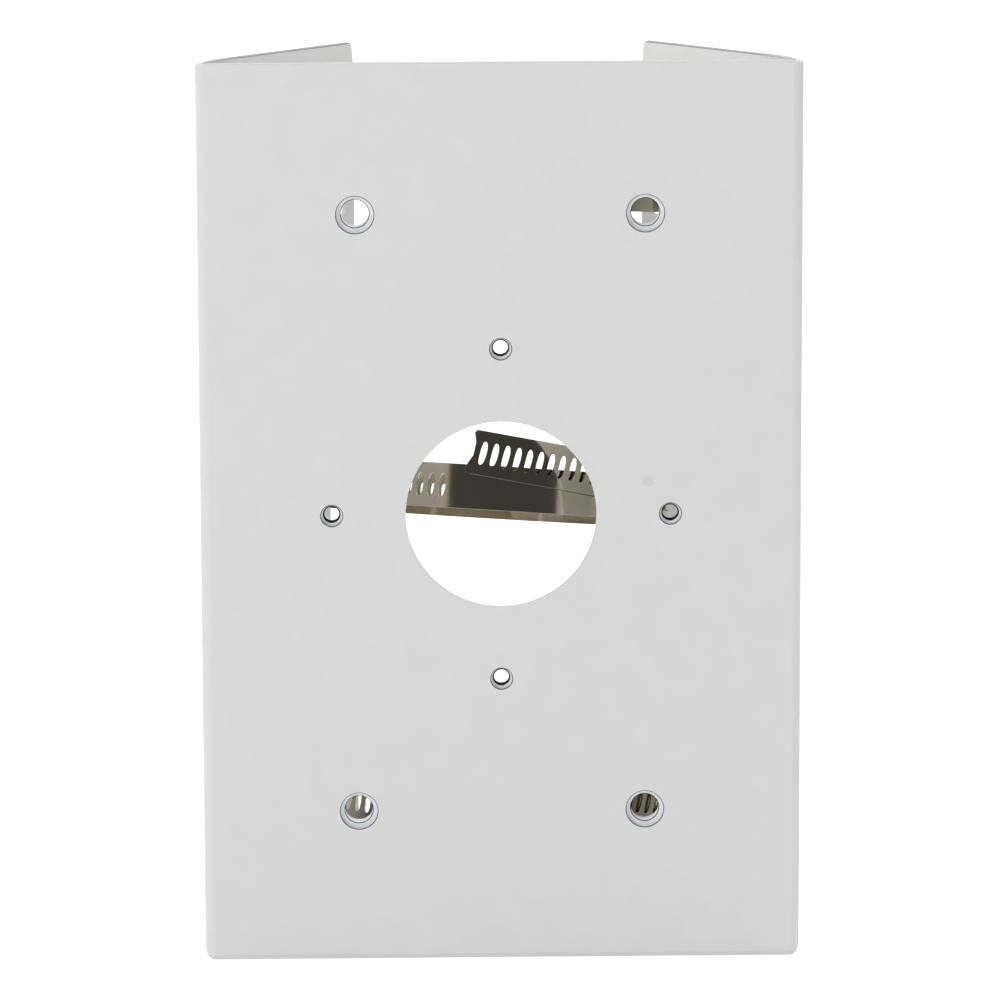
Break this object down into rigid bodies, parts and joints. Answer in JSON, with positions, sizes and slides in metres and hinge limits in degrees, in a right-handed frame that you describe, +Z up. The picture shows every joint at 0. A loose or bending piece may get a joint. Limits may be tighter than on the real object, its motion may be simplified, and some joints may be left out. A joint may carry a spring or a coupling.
{
  "type": "camera pole mount",
  "caption": "Folded white steel plate with angled wings, a round cable hole, threaded fixing points and stainless worm-drive straps for clamping a camera to a pole.",
  "frame": {"origin": "centre of the cable hole on the front face of the plate", "axes": "+X to the right seen from the front, +Y back towards the pole, +Z up"},
  "size_m": [0.1668, 0.1543, 0.2552],
  "materials": {
    "white_paint": "satin powder coat",
    "strap_steel": "rolled stainless band",
    "housing_steel": "pressed stainless",
    "screw_steel": "bright zinc"
  },
  "bodies": {
    "bracket": {"mount_plate": "white_paint", "corner_nut_upper_left": "white_paint", "corner_nut_upper_right": "white_paint", "corner_nut_lower_left": "white_paint", "corner_nut_lower_right": "white_paint", "small_nut_top": "white_paint", "small_nut_right": "white_paint", "small_nut_bottom": "white_paint", "small_nut_left": "white_paint", "upper_band": "strap_steel", "upper_housing": "housing_steel", "middle_band": "strap_steel", "middle_housing": "housing_steel", "lower_band": "strap_steel", "lower_housing": "housing_steel"},
    "upper_worm": {"upper_screw": "screw_steel"},
    "middle_worm": {"middle_screw": "screw_steel"},
    "lower_worm": {"lower_screw": "screw_steel"}
  },
  "joints": [
    {"name": "upper_screw_turn", "type": "hinge", "parent": "bracket", "child": "upper_worm", "pos_m": [0.07436, 0.08327, 0.07611], "axis": [-0.0095, 0.9903, -0.1389], "continuous": true},
    {"name": "middle_screw_turn", "type": "hinge", "parent": "bracket", "child": "middle_worm", "pos_m": [0.0738, 0.08175, -0.01838], "axis": [-0.0173, 0.9686, -0.2481], "continuous": true},
    {"name": "lower_screw_turn", "type": "hinge", "parent": "bracket", "child": "lower_worm", "pos_m": [0.07466, 0.08264, -0.10135], "axis": [0.0084, 0.9961, -0.0879], "continuous": true}
  ]
}
